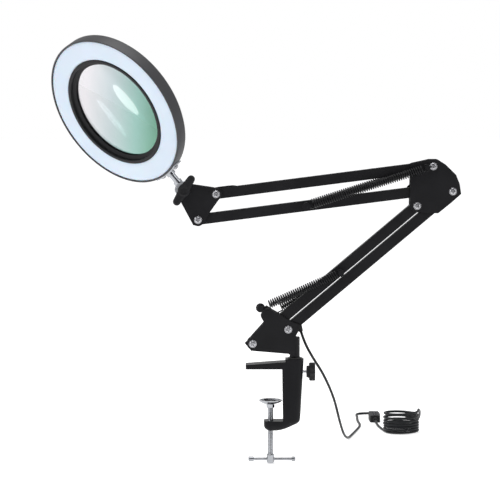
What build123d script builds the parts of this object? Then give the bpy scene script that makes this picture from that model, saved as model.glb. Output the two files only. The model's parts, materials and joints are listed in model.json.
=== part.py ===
from build123d import *
import os
from math import cos, pi, radians, sin, tan

# Clamp-on magnifying lamp: a ring light around a lens, on a spring-balanced arm of two parallelograms.
# Millimetres, +Z up. The origin lies on the underside of the clamp's upper jaw, on the axis of the
# clamp screw. The arms lie in the plane Y = 0, and -Y is the front.

# ---- driving dimensions ----
BAR_HEIGHT, BAR_WIDTH, BAR_WALL = 11.4, 10.0, 1.0
PLATE, SIDE_GAP = 2.0, 0.6
FIT, CLEAR = 0.05, 0.3
SLEEVE_R, SLEEVE_BORE, SCREW_R = 3.0, 2.1, 2.0
SCREW_HEAD_R, SCREW_HEAD, NUT_R, NUT = 4.3, 2.6, 4.2, 3.2
LOWER_LENGTH, LOWER_ANGLE = 235.0, 40.2
UPPER_LENGTH, UPPER_ANGLE = 239.0, 187.3
BASE_LINK, BASE_LINK_ANGLE = 42.0, 22.1
HEAD_LINK, HEAD_LINK_ANGLE = 34.5, 55.0
NECK_LENGTH, NECK_ANGLE, HEAD_TWIST = 113.8, 129.2, 48.5
HEAD_R, HEAD_DEPTH, LENS_R = 88.0, 16.5, 61.2
POST_X, POST_R, PIN_R = 26.7, 5.55, 5.0
SPRING_R, LOWER_SPRING_Y, UPPER_SPRING_Y = 4.85, 10.5, 13.0
HOOK_ROOM, STUB_SHOULDER = 4.5, 1.2
FLOOR, CORD_R, ARC_SHARE = -106.0, 1.5, 0.45

INNER_FACE = BAR_WIDTH / 2 + SIDE_GAP
OUTER_FACE = INNER_FACE + PLATE
FRONT = Plane.XZ


def polar(length, angle):
    """A vector in the plane of the arms, its angle measured from +X towards +Z."""
    return Vector(length * cos(radians(angle)), 0, length * sin(radians(angle)))


def flat(point):
    """A point of the plane of the arms as sketch coordinates."""
    return (point.X, point.Z)


# ---- pivots, in the plane of the arms ----
base_left = Vector(-19.5, 0, 28.1)
base_right = base_left + polar(BASE_LINK, BASE_LINK_ANGLE)
elbow_left = base_left + polar(LOWER_LENGTH, LOWER_ANGLE)
elbow_right = base_right + polar(LOWER_LENGTH, LOWER_ANGLE)
elbow_top = Vector(177.4, 0, 223.0)
elbow_back = elbow_top - polar(HEAD_LINK, HEAD_LINK_ANGLE)
head_top = elbow_top + polar(UPPER_LENGTH, UPPER_ANGLE)
head_low = elbow_back + polar(UPPER_LENGTH, UPPER_ANGLE)
wrist = head_top + Vector(-34.9, 0, 4.2)
hanger_front = Vector(-11.1, 0, 67.7)
hanger_back = Vector(-2.5, 0, 58.5)
lower_spring_pin_at = base_left + polar(124.4, LOWER_ANGLE - 1.0)
upper_spring_pin_at = elbow_back + polar(119.8, UPPER_ANGLE)
upper_anchor = Vector(170.0, 0, 221.5)


# ---- shapes that repeat ----
def bar(start, end, square_end=0.0, bores=(SLEEVE_R + FIT, SLEEVE_R + FIT), pin=None):
    """A square tube between two pivots, round at its ends, or cut square past its start."""
    along = end - start
    plane = Plane(origin=start, x_dir=along, z_dir=(0, -1, 0))
    with BuildPart() as piece:
        with BuildSketch(plane):
            with Locations((along.length / 2, 0)):
                Rectangle(along.length, BAR_HEIGHT)
            if square_end:
                with Locations((-square_end / 2, 0)):
                    Rectangle(square_end, BAR_HEIGHT)
            else:
                Circle(BAR_HEIGHT / 2)
            with Locations((along.length, 0)):
                Circle(BAR_HEIGHT / 2)
        extrude(amount=BAR_WIDTH / 2, both=True)
        with BuildSketch(plane):
            with Locations((along.length / 2, 0)):
                Rectangle(along.length + 2 * BAR_HEIGHT, BAR_HEIGHT - 2 * BAR_WALL)
        extrude(amount=BAR_WIDTH / 2 - BAR_WALL, both=True, mode=Mode.SUBTRACT)
        with BuildSketch(plane):
            Circle(bores[0])
            with Locations((along.length, 0)):
                Circle(bores[1])
            if pin:
                across = plane.to_local_coords(pin)
                with Locations((across.X, across.Y)):
                    Circle(SCREW_R)
        extrude(amount=BAR_WIDTH, both=True, mode=Mode.SUBTRACT)
    return piece


def plate(outline, lobes, holes, start):
    """A flat bracket plate, its far face at Y = -start, extruded towards the front."""
    with BuildPart() as piece:
        with BuildSketch(FRONT.offset(start)):
            with BuildLine():
                FilletPolyline(*outline, radius=1.5, close=True)
            make_face()
            for centre, radius in lobes:
                with Locations(flat(centre)):
                    Circle(radius)
            for centre, radius in holes:
                with Locations(flat(centre)):
                    Circle(radius, mode=Mode.SUBTRACT)
        extrude(amount=PLATE)
    return piece


def rod(centre, radius, y_from, y_to, mode=Mode.ADD):
    """A round bar along Y, added to the part in progress."""
    with BuildSketch(FRONT.offset(-y_to)) as section:
        with Locations(flat(centre)):
            Circle(radius)
    extrude(section.sketch, amount=y_to - y_from, mode=mode)


def pivot_screws(centres, heads_behind=()):
    """Pan-head screws through both plates, with a hexagon nut on each."""
    with BuildPart() as group:
        for centre in centres:
            rod(centre, SCREW_R, -OUTER_FACE, OUTER_FACE + NUT + 0.8)
            rod(centre, SCREW_HEAD_R, -OUTER_FACE - SCREW_HEAD / 2, -OUTER_FACE)
            with BuildSketch(FRONT.offset(OUTER_FACE + SCREW_HEAD / 2)) as crown:
                with Locations(flat(centre)):
                    Circle(SCREW_HEAD_R)
            extrude(crown.sketch, amount=SCREW_HEAD / 2, taper=45)
        for centre in centres:
            with BuildSketch(FRONT.offset(-OUTER_FACE - NUT)):
                with Locations(flat(centre)):
                    RegularPolygon(NUT_R, 6)
                    Circle(SCREW_R + FIT, mode=Mode.SUBTRACT)
            extrude(amount=NUT - 0.02)
        for centre in heads_behind:
            rod(centre, SCREW_R, -INNER_FACE, OUTER_FACE)
            rod(centre, SCREW_HEAD_R, OUTER_FACE, OUTER_FACE + SCREW_HEAD)
    return group


def sleeves(centres):
    """Spacer tubes between the two plates of a bracket, on which the bars turn."""
    with BuildPart() as group:
        for centre in centres:
            with BuildSketch(FRONT.offset(-INNER_FACE)):
                with Locations(flat(centre)):
                    Circle(SLEEVE_R)
                    Circle(SLEEVE_BORE, mode=Mode.SUBTRACT)
            extrude(amount=2 * INNER_FACE)
    return group


def spring(start, end, y, lead, tail):
    """The outer shape of a tension spring, without its end loops."""
    direction = (end - start).normalized()
    origin = start + direction * lead + Vector(0, y, 0)
    with BuildPart() as piece:
        with BuildSketch(Plane(origin=origin, z_dir=direction)):
            Circle(SPRING_R)
        extrude(amount=(end - start).length - lead - tail)
    return piece


def cord(points):
    """A tube of straight runs joined by tangent arcs, each arc as large as its two runs allow."""
    corners = [Vector(*point) for point in points]
    radii = []
    for before, corner, after in zip(corners, corners[1:], corners[2:]):
        turn = radians((corner - before).get_angle(after - corner))
        shorter = min((corner - before).length, (after - corner).length)
        radii.append(ARC_SHARE * shorter / tan(turn / 2))
    with BuildPart() as piece:
        with BuildLine() as route:
            FilletPolyline(*corners, radius=radii)
        length = route.wire().length
        with BuildSketch(Plane(origin=corners[0], z_dir=corners[1] - corners[0])):
            Circle(CORD_R)
        sweep(path=route.wire())
    print("cord radii", [round(r, 1) for r in radii], "length", round(length, 1),
          "volume ratio", round(piece.part.volume / (length * pi * CORD_R**2), 4))
    return piece


pieces = {}

# ---- table clamp ----
jaw_width, jaw_reach = 20.0, -27.4
column_left, column_top, column_right, column_foot = 12.9, 10.9, 36.5, 32.9
lower_jaw_top, lower_jaw_end = -57.8, -7.3
lock_z = -3.7
stud_r, stud_length, stud_gap = 1.75, 11.3, 1.0
stud_tip = POST_X + PIN_R + stud_gap
bush_r, bush_bottom, bush_flange, bush_flange_r = 6.2, -30.0, 1.4, 7.8
thread_r = 3.15

with BuildPart() as clamp_frame:
    with BuildSketch(FRONT.offset(-jaw_width / 2)):
        with BuildLine():
            Polyline((16.4, column_top), (16.4, 8.0), (jaw_reach, 4.7), (jaw_reach, 0), (column_left, 0),
                     (column_left + 0.9, lower_jaw_top), (lower_jaw_end, lower_jaw_top),
                     (lower_jaw_end, -67.9))
            Spline((lower_jaw_end, -67.9), (6.9, -68.8), (18.3, -65.9), (27.2, -61.8),
                   (column_foot, -54.0), tangents=((1, -0.1), (0.05, 1)))
            Polyline((column_foot, -54.0), (column_right, column_top), (16.4, column_top))
        make_face()
    extrude(amount=jaw_width)
    fillet(clamp_frame.edges().filter_by(lambda e: e.center().X > 34 and e.length > 40), 6.5)
    fillet(clamp_frame.edges().filter_by(Axis.Z).filter_by(lambda e: e.center().X < lower_jaw_end + 1
                                                           and e.center().Z < lower_jaw_top), 6.0)
    fillet(clamp_frame.edges().filter_by(Axis.Z).filter_by(lambda e: e.center().X < jaw_reach + 1), 3.0)
    with BuildSketch(Plane.XY.offset(column_top)):
        with Locations((POST_X, 0)):
            Circle(bush_r + FIT)
    extrude(amount=bush_bottom - column_top - 0.2, mode=Mode.SUBTRACT)
    with BuildSketch(Plane.XY.offset(lower_jaw_top + 1)):
        Circle(thread_r + FIT)
    extrude(amount=-20, mode=Mode.SUBTRACT)
    with BuildSketch(Plane.YZ.offset(POST_X + bush_r - 2)):
        with Locations((0, lock_z)):
            Circle(stud_r + FIT)
    extrude(amount=20, mode=Mode.SUBTRACT)
pieces["clamp_frame"] = clamp_frame

with BuildPart() as swivel_bush:
    with BuildSketch(Plane.XY.offset(bush_bottom)):
        with Locations((POST_X, 0)):
            Circle(bush_r)
    extrude(amount=column_top - bush_bottom)
    with BuildSketch(Plane.XY.offset(column_top)):
        with Locations((POST_X, 0)):
            Circle(bush_flange_r)
    extrude(amount=bush_flange)
    with BuildSketch(Plane.XY.offset(bush_bottom)):
        with Locations((POST_X, 0)):
            Circle(PIN_R + FIT)
    extrude(amount=60, mode=Mode.SUBTRACT)
    with BuildSketch(Plane.YZ.offset(POST_X + PIN_R - 1)):
        with Locations((0, lock_z)):
            Circle(stud_r + CLEAR)
    extrude(amount=5, mode=Mode.SUBTRACT)
pieces["swivel_bush"] = swivel_bush

# The stud of the lock knob passes the column and the bush, and stops short of the swivel pin.
with BuildPart() as lock_stud:
    with BuildSketch(Plane.YZ.offset(stud_tip)):
        with Locations((0, lock_z)):
            Circle(stud_r)
    extrude(amount=stud_length)
    chamfer(lock_stud.edges().sort_by(Axis.X)[0], 0.4)
pieces["lock_stud"] = lock_stud

lock_hub_start, lock_rim_start, lock_end = 39.6, 42.4, 49.2
lock_hub_r, lock_rim_r, lobe_ring_r, lobe_r, lobes = 6.2, 9.0, 7.6, 3.15, 6
with BuildPart() as lock_knob:
    with BuildSketch(Plane.YZ.offset(lock_hub_start)):
        with Locations((0, lock_z)):
            Circle(lock_hub_r)
    extrude(amount=lock_rim_start - lock_hub_start)
    with BuildSketch(Plane.YZ.offset(lock_rim_start)):
        with Locations((0, lock_z)):
            Circle(lock_rim_r)
            with PolarLocations(lobe_ring_r, lobes):
                Circle(lobe_r)
    extrude(amount=lock_end - lock_rim_start)
    fillet(lock_knob.edges().group_by(Axis.X)[-1], 1.0)
    with BuildSketch(Plane.YZ.offset(lock_hub_start)):
        with Locations((0, lock_z)):
            Circle(stud_r + FIT)
    extrude(amount=stud_tip + stud_length + FIT - lock_hub_start, mode=Mode.SUBTRACT)
pieces["lock_knob"] = lock_knob

# ---- clamp screw, pad and sliding handle ----
pad_top, pad_bottom, pad_r = -35.0, -43.5, 12.8
with BuildPart() as swivel_pad:
    with BuildSketch(FRONT):
        with BuildLine():
            Polyline((0, pad_top - 2.9), (0, pad_top - 1.6), (pad_r - 2.4, pad_top - 1.6),
                     (pad_r - 1.5, pad_top), (pad_r, pad_top), (pad_r, pad_top - 1.0))
            ThreePointArc((pad_r, pad_top - 1.0), (9.8, pad_top - 3.3), (4.6, pad_top - 4.8))
            Polyline((4.6, pad_top - 4.8), (4.6, pad_bottom), (2.5 + FIT, pad_bottom),
                     (2.5 + FIT, pad_top - 2.9), (0, pad_top - 2.9))
        make_face()
    revolve(axis=Axis.Z)
pieces["swivel_pad"] = swivel_pad

screw_foot, handle_z, handle_r = -105.4, -101.0, 1.55
with BuildPart() as clamp_screw:
    with BuildSketch(FRONT):
        with BuildLine():
            Polyline((0, pad_top - 3.2), (2.5, pad_top - 3.2), (2.5, pad_bottom - CLEAR),
                     (thread_r, pad_bottom - CLEAR - 0.65), (thread_r, -95.0), (4.2, -96.0),
                     (4.2, screw_foot + 0.8), (3.4, screw_foot), (0, screw_foot), (0, pad_top - 3.2))
        make_face()
    revolve(axis=Axis.Z)
    with BuildSketch(Plane.YZ.offset(-10)):
        with Locations((0, handle_z)):
            Circle(handle_r + FIT)
    extrude(amount=20, mode=Mode.SUBTRACT)
pieces["clamp_screw"] = clamp_screw

handle_left, handle_right, left_cap, right_cap, cap_r = -24.5, 27.7, 6.0, 4.2, 2.6
with BuildPart() as tommy_bar:
    with BuildSketch(Plane.YZ.offset(handle_left)):
        with Locations((0, handle_z)):
            Circle(handle_r)
    extrude(amount=handle_right - handle_left)
    with BuildSketch(Plane.YZ.offset(handle_left)):
        with Locations((0, handle_z)):
            Circle(cap_r)
    extrude(amount=left_cap)
    with BuildSketch(Plane.YZ.offset(handle_right - right_cap)):
        with Locations((0, handle_z)):
            Circle(cap_r)
    extrude(amount=right_cap)
    fillet(tommy_bar.edges().group_by(Axis.X)[0], 1.2)
    fillet(tommy_bar.edges().group_by(Axis.X)[-1], 1.2)
pieces["tommy_bar"] = tommy_bar

# ---- base bracket, which turns in the clamp ----
base_outline = [(-5.0, 69.6), (2.3, 64.8), (11.6, 59.7), (21.5, 53.1), (34.1, 48.2), (28.1, 37.3),
                (26.7, 14.0), (21.6, 14.0), (20.6, 16.8), (-19.8, 20.2), (-27.2, 27.2), (-21.6, 35.2),
                (-7.2, 51.4), (-11.1, 58.6)]
base_lobes = [(base_left, 6.6), (base_right, 7.6)]
hanger_r, anchor_r = 2.2, 1.8
base_holes = [(base_left, SCREW_R + FIT), (base_right, SCREW_R + FIT)]
pieces["base_plate_front"] = plate(base_outline, base_lobes + [(hanger_front, 5.0)],
                                   base_holes + [(hanger_front, hanger_r)], INNER_FACE)
pieces["base_plate_back"] = plate(base_outline, base_lobes, base_holes + [(hanger_back, hanger_r)],
                                  -OUTER_FACE)
pieces["base_fasteners"] = pivot_screws([base_left, base_right])
pieces["base_sleeves"] = sleeves([base_left, base_right])

post_foot, post_top = column_top + bush_flange + CLEAR, 35.1
with BuildPart() as swivel_post:
    with BuildSketch(Plane.XY.offset(bush_bottom + 0.5)):
        with Locations((POST_X, 0)):
            Circle(PIN_R)
    extrude(amount=post_foot - bush_bottom - 0.5)
    with BuildSketch(Plane.XY.offset(post_foot)):
        with Locations((POST_X, 0)):
            Circle(POST_R)
    extrude(amount=post_top - post_foot)
    chamfer(swivel_post.edges().sort_by(Axis.Z)[-1], 0.6)
pieces["swivel_post"] = swivel_post



def stubs(front_centre, back_centre, radius, shoulder_r, reach):
    """One pin riveted into each plate of a bracket, so that a bar can pass between the two."""
    with BuildPart() as pair:
        for side, centre in ((-1, front_centre), (1, back_centre)):
            near, far = sorted((side * INNER_FACE, side * reach))
            rod(centre, radius, near, far)
            near, far = sorted((side * reach, side * (reach + STUB_SHOULDER)))
            rod(centre, shoulder_r, near, far)
    return pair


pin_end = LOWER_SPRING_Y + HOOK_ROOM
pieces["spring_hanger"] = stubs(hanger_front, hanger_back, hanger_r - FIT, 3.2, pin_end)

gland_top = Vector(31.0, 12.2, 49.0)
gland_axis = Vector(0.28, 0.12, -0.95).normalized()
gland_length = 10.0
with BuildPart() as cord_gland:
    with BuildSketch(FRONT.offset(-11.5)):
        with Locations((30.0, 47.5)):
            RectangleRounded(6.0, 6.0, 1.5)
    extrude(amount=11.5 - OUTER_FACE)
    with BuildSketch(Plane(origin=gland_top, z_dir=gland_axis)):
        Circle(3.2)
    extrude(amount=gland_length, taper=4.5)
pieces["cord_gland"] = cord_gland

# ---- lower arm ----
pieces["lower_bar_left"] = bar(base_left, elbow_left, square_end=6.6,
                               bores=(SLEEVE_R + FIT, SLEEVE_R + CLEAR), pin=lower_spring_pin_at)
pieces["lower_bar_right"] = bar(base_right, elbow_right)


def cross_pin(centre, reach, head_r):
    """A pin through a bar, with a shoulder at each end that keeps the spring loops on."""
    with BuildPart() as piece:
        rod(centre, SCREW_R - FIT, -reach, reach)
        rod(centre, head_r, -reach - 1.4, -reach)
        rod(centre, head_r, reach, reach + 1.4)
    return piece


pieces["lower_spring_pin"] = cross_pin(lower_spring_pin_at, pin_end, 3.2)
pieces["lower_spring_front"] = spring(hanger_front, lower_spring_pin_at, -LOWER_SPRING_Y, 10.0, 5.0)
pieces["lower_spring_back"] = spring(hanger_back, lower_spring_pin_at, LOWER_SPRING_Y, 16.0, 5.0)

# ---- elbow ----
elbow_outline = [(152.7, 226.0), (173.3, 230.6), (181.7, 230.6), (190.6, 225.0), (202.2, 213.8),
                 (206.2, 204.0), (208.0, 192.8), (197.0, 183.0), (183.0, 171.6), (166.0, 172.0),
                 (151.8, 177.2)]
elbow_lobes = [(elbow_top, 7.0), (elbow_right, 8.0), (elbow_left, 7.2)]
back_lobes = elbow_lobes + [(elbow_back, 9.4)]
elbow_holes = [(elbow_top, SCREW_R + FIT), (elbow_right, SCREW_R + FIT), (elbow_left, SCREW_R + FIT),
               (upper_anchor, anchor_r)]
pieces["elbow_plate_front"] = plate(elbow_outline, elbow_lobes, elbow_holes, INNER_FACE)
pieces["elbow_plate_back"] = plate(elbow_outline, back_lobes,
                                   elbow_holes + [(elbow_back, SCREW_R + FIT)], -OUTER_FACE)
pieces["elbow_fasteners"] = pivot_screws([elbow_top, elbow_right, elbow_left], [elbow_back])
pieces["elbow_sleeves"] = sleeves([elbow_top, elbow_right, elbow_left, elbow_back])

anchor_end = UPPER_SPRING_Y + HOOK_ROOM
pieces["spring_anchors"] = stubs(upper_anchor, upper_anchor, anchor_r - FIT, 2.8, anchor_end)

# ---- upper arm ----
pieces["upper_bar_top"] = bar(elbow_top, head_top)
pieces["upper_bar_bottom"] = bar(elbow_back, head_low, bores=(SLEEVE_R + FIT, SLEEVE_R + CLEAR),
                                 pin=upper_spring_pin_at)
pieces["upper_spring_pin"] = cross_pin(upper_spring_pin_at, anchor_end, 4.3)
pieces["upper_spring_front"] = spring(upper_spring_pin_at, upper_anchor, -UPPER_SPRING_Y, 7.0, 5.5)
pieces["upper_spring_back"] = spring(upper_spring_pin_at, upper_anchor, UPPER_SPRING_Y, 7.0, 5.5)

# ---- head bracket ----
head_outline = [(-97.6, 182.8), (-99.0, 191.5), (-92.5, 203.0), (-84.3, 202.8), (-62.0, 199.5),
                (-54.5, 189.5), (-66.9, 172.0), (-73.5, 160.0), (-84.5, 158.2)]
head_lobes = [(head_top, 6.6), (head_low, 6.9), (wrist, 6.5)]
head_holes = [(head_top, SCREW_R + FIT), (head_low, SCREW_R + FIT), (wrist, 3.0 + FIT)]
pieces["head_plate_front"] = plate(head_outline, head_lobes, head_holes, INNER_FACE)
pieces["head_plate_back"] = plate(head_outline, head_lobes, head_holes, -OUTER_FACE)
pieces["head_fasteners"] = pivot_screws([head_top, head_low])
pieces["head_sleeves"] = sleeves([head_top, head_low])

knob_back, knob_front, knob_hub_r, wing_reach, wing_r, wing_angle = -8.2, -15.6, 6.8, 14.8, 4.1, 57.5
with BuildPart() as wing_bolt:
    rod(wrist, 3.0, knob_front + 2.4, OUTER_FACE)
    rod(wrist, 5.6, OUTER_FACE, OUTER_FACE + 2.4)
    fillet(wing_bolt.edges().sort_by(Axis.Y)[-1], 1.2)
pieces["wing_bolt"] = wing_bolt

with BuildPart() as wing_knob:
    rod(wrist, knob_hub_r, knob_front, knob_back)
    for side in (0, 180):
        tip = wrist + polar(wing_reach, wing_angle + side)
        middle = wrist + polar(wing_reach / 2, wing_angle + side)
        with BuildSketch(FRONT.offset(-knob_back + 1.6)):
            with Locations(flat(tip)):
                Circle(wing_r)
            with Locations(Location((middle.X, middle.Z, 0), (0, 0, wing_angle))):
                Rectangle(wing_reach, 2 * wing_r)
        extrude(amount=knob_back - knob_front - 1.0)
    rod(wrist, 3.0 + FIT, knob_front + 2.2, knob_back + 1, mode=Mode.SUBTRACT)
pieces["wing_knob"] = wing_knob

# ---- neck: a round eye between the plates, and the rod that the head turns on ----
to_neck = -polar(1, NECK_ANGLE)
head_centre = wrist - to_neck * NECK_LENGTH
rod_r, eye_r, socket_end = 3.6, 10.3, 13.0
strap_in, strap_out, boss_end = HEAD_R + 0.1, HEAD_R + 1.6, HEAD_R + 4.6

with BuildPart() as neck_eye:
    rod(wrist, eye_r, -BAR_WIDTH / 2, BAR_WIDTH / 2)
    chamfer(neck_eye.edges().filter_by(GeomType.CIRCLE), 0.8)
    with BuildSketch(Plane(origin=wrist, z_dir=-to_neck)):
        Circle(4.9)
    extrude(amount=socket_end)
    rod(wrist, 3.0 + FIT, -BAR_WIDTH, BAR_WIDTH, mode=Mode.SUBTRACT)
    with BuildSketch(Plane(origin=wrist - to_neck * (eye_r + 0.2), z_dir=-to_neck)):
        Circle(rod_r + FIT)
    extrude(amount=10, mode=Mode.SUBTRACT)
pieces["neck_eye"] = neck_eye

with BuildPart() as neck_rod:
    with BuildSketch(Plane(origin=wrist - to_neck * (eye_r + 0.4), z_dir=-to_neck)):
        Circle(rod_r)
    extrude(amount=NECK_LENGTH - strap_out - 0.4 - eye_r - 0.4)
pieces["neck_rod"] = neck_rod

# ---- lamp head, turned about its axis and facing front and down ----
facing = Vector(-sin(radians(HEAD_TWIST)) * sin(radians(NECK_ANGLE)), -cos(radians(HEAD_TWIST)),
                sin(radians(HEAD_TWIST)) * cos(radians(NECK_ANGLE)))
sideways = facing.cross(to_neck)
head_frame = Plane(origin=head_centre, x_dir=to_neck, z_dir=facing)
head_profile = Plane(origin=head_centre, x_dir=to_neck, z_dir=-sideways)
head_axis = Axis(head_centre, facing)
rim, back = HEAD_DEPTH / 2, -HEAD_DEPTH / 2
clip_angle = 9.0


def ring(outline):
    """A ring of the head from its section: radius and height along the head's axis."""
    with BuildPart() as piece:
        with BuildSketch(head_profile):
            with BuildLine():
                Polyline(*outline, close=True)
            make_face()
        revolve(axis=head_axis)
    return piece


def clip_planes(radius):
    """Planes facing outwards on the rim, where the two screws of the strap go in."""
    for angle in (-clip_angle, clip_angle):
        outwards = to_neck * cos(radians(angle)) + sideways * sin(radians(angle))
        yield Plane(origin=head_centre + outwards * radius, z_dir=outwards)


with BuildPart() as head_housing:
    with BuildSketch(head_profile):
        with BuildLine():
            Polyline((HEAD_R, rim), (HEAD_R - 1.8, rim), (HEAD_R - 1.8, back + 2), (63.1, back + 2),
                     (63.1, 5.2), (61.5, 5.2), (61.5, -2.0), (56.2, -2.0), (56.2, -3.4), (60.6, back),
                     (HEAD_R - 3.0, back), (HEAD_R, back + 3.0), (HEAD_R, rim))
        make_face()
    revolve(axis=head_axis)
    for plane in clip_planes(HEAD_R - 4):
        with BuildSketch(plane):
            Circle(1.5 + FIT)
        extrude(amount=6, mode=Mode.SUBTRACT)
pieces["head_housing"] = head_housing

pieces["diffuser"] = ring([(64.0, 6.0), (HEAD_R - 2.0, 6.0), (HEAD_R - 2.0, 7.6), (64.0, 7.6)])
pieces["lens_bezel"] = ring([(60.0, rim), (63.7, rim), (63.7, 5.4), (61.3, 5.4), (61.3, 2.0),
                             (56.2, 2.0), (56.2, 2.9), (60.0, 4.4)])
pieces["led_board"] = ring([(66.0, -4.6), (82.0, -4.6), (82.0, -3.4), (66.0, -3.4)])

with BuildPart() as leds:
    with BuildSketch(head_frame.offset(-3.4)):
        with PolarLocations(74.0, 36):
            Rectangle(2.8, 3.5)
    extrude(amount=1.0)
pieces["leds"] = leds

lens_edge, lens_bulge = 1.3, 3.3
lens_curve = (LENS_R**2 + lens_bulge**2) / (2 * lens_bulge)
lens_middle = lens_edge + lens_bulge
lens_half_way = lens_middle - lens_curve + (lens_curve**2 - LENS_R**2 / 4) ** 0.5
with BuildPart() as lens:
    with BuildSketch(head_profile):
        with BuildLine():
            ThreePointArc((0, lens_middle), (LENS_R / 2, lens_half_way), (LENS_R, lens_edge))
            Line((LENS_R, lens_edge), (LENS_R, -lens_edge))
            ThreePointArc((LENS_R, -lens_edge), (LENS_R / 2, -lens_half_way), (0, -lens_middle))
            Line((0, -lens_middle), (0, lens_middle))
        make_face()
    revolve(axis=head_axis)
pieces["lens"] = lens

strap_width, strap_length = 12.0, 40.0
with BuildPart() as head_strap:
    with BuildSketch(head_frame.offset(-strap_width / 2)):
        Circle(strap_out)
        Circle(strap_in, mode=Mode.SUBTRACT)
        with Locations((strap_out, 0)):
            Rectangle(strap_width, strap_length, mode=Mode.INTERSECT)
    extrude(amount=strap_width)
    with BuildSketch(Plane(origin=head_centre + to_neck * (strap_in + 0.6), z_dir=to_neck)):
        Circle(5.2)
    extrude(amount=boss_end - strap_in - 0.6)
    with BuildSketch(Plane(origin=head_centre + to_neck * (strap_out + 0.1), z_dir=to_neck)):
        Circle(rod_r + FIT)
    extrude(amount=6, mode=Mode.SUBTRACT)
    for plane in clip_planes(strap_in - 2):
        with BuildSketch(plane):
            Circle(1.5 + FIT)
        extrude(amount=6, mode=Mode.SUBTRACT)
pieces["head_strap"] = head_strap

with BuildPart() as strap_screws:
    for plane in clip_planes(HEAD_R - 2.4):
        with BuildSketch(plane):
            Circle(1.5)
        extrude(amount=4.2)
        with BuildSketch(plane.offset(4.12)):
            Circle(2.9)
        extrude(amount=2.0, taper=12)
pieces["strap_screws"] = strap_screws

# ---- cord: it hangs from the base bracket and lies on the surface behind the lamp ----
lying = FLOOR + CORD_R
switch_x, switch_y, switch_length, switch_axis_z = 133.0, 293.0, 38.0, FLOOR + 4.3
relief = 9.0
plug_x, plug_y, plug_axis_z = 180.0, 293.0, FLOOR + 4.0
plug_relief = 8.0
coil_x, coil_y, coil_r, coil_top = 160.0, 205.0, 21.0, -78.5

gland_mouth = gland_top + gland_axis * (gland_length + 0.15)
cord_start = (gland_mouth.X, gland_mouth.Y, gland_mouth.Z)
drop_route = [cord_start, (37.2, 15.2, 28.0), (47.0, 24.0, 9.0), (60.0, 40.0, -12.0), (66.5, 53.0, -27.5)]
lead_route = [(66.5, 53.0, -27.5), (73.0, 66.0, -43.0), (80.0, 92.0, -72.0), (86.5, 120.0, -94.5),
              (93.0, 150.0, lying), (100.0, 181.0, lying), (107.0, 213.0, lying), (113.5, 246.0, lying),
              (111.0, 280.0, lying), (112.6, 312.0, lying), (112.0, 332.1, lying),
              (122.5, 338.1, lying), (switch_x, 332.1, -103.6),
              (switch_x, switch_y + switch_length / 2 + relief, switch_axis_z)]
coil_route = [(switch_x, switch_y - switch_length / 2 - relief, switch_axis_z),
              (133.4, 252.0, -103.9), (135.6, 231.0, lying), (139.6, 211.0, lying)]
plug_route = [(181.0, 207.0, -80.0), (182.2, 221.0, -80.6), (185.5, 238.0, -86.0),
              (186.0, 256.0, -97.0), (182.5, 272.0, -103.3), (plug_x, plug_y - plug_relief, plug_axis_z)]
pieces["cord_drop"] = cord(drop_route)
pieces["cord_lead"] = cord(lead_route)
pieces["cord_to_coil"] = cord(coil_route)
pieces["cord_to_plug"] = cord(plug_route)

with BuildPart() as cord_coil:
    with BuildSketch(Plane.XY.offset(FLOOR)):
        with Locations((coil_x, coil_y)):
            Circle(coil_r + CORD_R)
            Circle(coil_r - 3 * CORD_R, mode=Mode.SUBTRACT)
    extrude(amount=coil_top - FLOOR)
pieces["cord_coil"] = cord_coil

# ---- in-line switch ----
shell_height, end_width, middle_width, shell_wall = 4.3, 12.0, 14.0, 1.2
button_r, button_pitch, button_proud = 2.3, 7.4, 0.8


def switch_outline(inset):
    """The plan of the switch: ends narrower than the middle, its long sides bowed outwards."""
    half, end, middle = switch_length / 2 - inset, end_width / 2 - inset, middle_width / 2 - inset
    with BuildLine() as outline:
        Polyline((-end, -half), (end, -half))
        ThreePointArc((end, -half), (middle, 0), (end, half))
        Polyline((end, half), (-end, half))
        ThreePointArc((-end, half), (-middle, 0), (-end, -half))
    make_face(outline.edges())


with BuildPart() as switch_bottom:
    with BuildSketch(Plane((switch_x, switch_y, FLOOR))):
        switch_outline(0)
    extrude(amount=shell_height)
    fillet(switch_bottom.edges().filter_by(Axis.Z), 1.5)
    fillet(switch_bottom.faces().sort_by(Axis.Z)[0].edges(), 0.8)
    with BuildSketch(Plane((switch_x, switch_y, FLOOR + shell_wall))):
        switch_outline(shell_wall)
    extrude(amount=shell_height, mode=Mode.SUBTRACT)
pieces["switch_bottom"] = switch_bottom

with BuildPart() as switch_top:
    with BuildSketch(Plane((switch_x, switch_y, FLOOR + shell_height))):
        switch_outline(0)
    extrude(amount=shell_height)
    fillet(switch_top.edges().filter_by(Axis.Z), 1.5)
    fillet(switch_top.faces().sort_by(Axis.Z)[-1].edges(), 0.8)
    with BuildSketch(Plane((switch_x, switch_y, FLOOR + shell_height))):
        switch_outline(shell_wall)
    extrude(amount=shell_height - shell_wall, mode=Mode.SUBTRACT)
    with BuildSketch(Plane((switch_x, switch_y, FLOOR + shell_height))):
        with GridLocations(1, button_pitch, 1, 4):
            Circle(button_r + 0.2)
    extrude(amount=shell_height, mode=Mode.SUBTRACT)
pieces["switch_top"] = switch_top

button_names = ["button_power", "button_brighter", "button_dimmer", "button_colour"]
for number, name in enumerate(button_names):
    button_y = switch_y + (1.5 - number) * button_pitch
    with BuildPart() as button:
        with BuildSketch(Plane((switch_x, button_y, FLOOR + shell_height + 1.2))):
            Circle(button_r)
        extrude(amount=shell_height - 1.2 + button_proud)
        fillet(button.edges().sort_by(Axis.Z)[-1], 0.5)
    pieces[name] = button

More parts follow.
